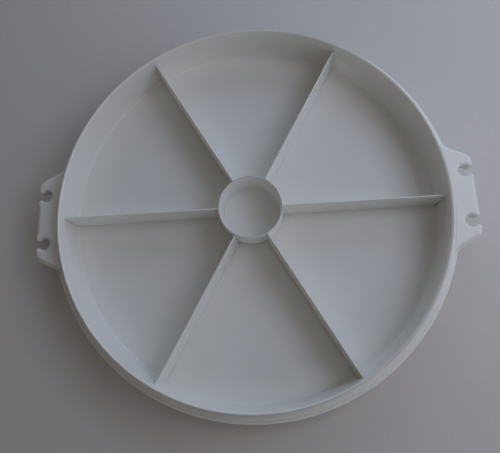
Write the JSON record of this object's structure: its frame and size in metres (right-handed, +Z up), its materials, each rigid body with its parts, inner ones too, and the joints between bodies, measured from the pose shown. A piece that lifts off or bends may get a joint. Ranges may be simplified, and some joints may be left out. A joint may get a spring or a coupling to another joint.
{
  "type": "chip and dip server",
  "caption": "round shallow serving tray with radial compartments round a lift-out dip cup, a flange below the rim and a notched carrying ear on either side",
  "frame": {"origin": "centre of the tray, on the plane it stands on", "axes": "+Z up out of the open tray, +X through the ear on the viewer's right and along a divider, +Y away from the viewer"},
  "size_m": [0.35, 0.322, 0.036],
  "materials": {
    "tray_plastic": "satin",
    "cup_plastic": "satin"
  },
  "bodies": {
    "tray": {"tray_floor": "tray_plastic", "outer_wall": "tray_plastic", "seal_flange": "tray_plastic", "left_ear": "tray_plastic", "right_ear": "tray_plastic", "divider_1": "tray_plastic", "divider_2": "tray_plastic", "divider_3": "tray_plastic", "divider_4": "tray_plastic", "divider_5": "tray_plastic", "divider_6": "tray_plastic", "foot_ring": "tray_plastic"},
    "dip_cup": {"dip_cup": "cup_plastic"}
  },
  "joints": [
    {"name": "cup_lift", "type": "slide", "parent": "tray", "child": "dip_cup", "axis": [0, 0, 1], "range_m": [0, 0.045]}
  ]
}
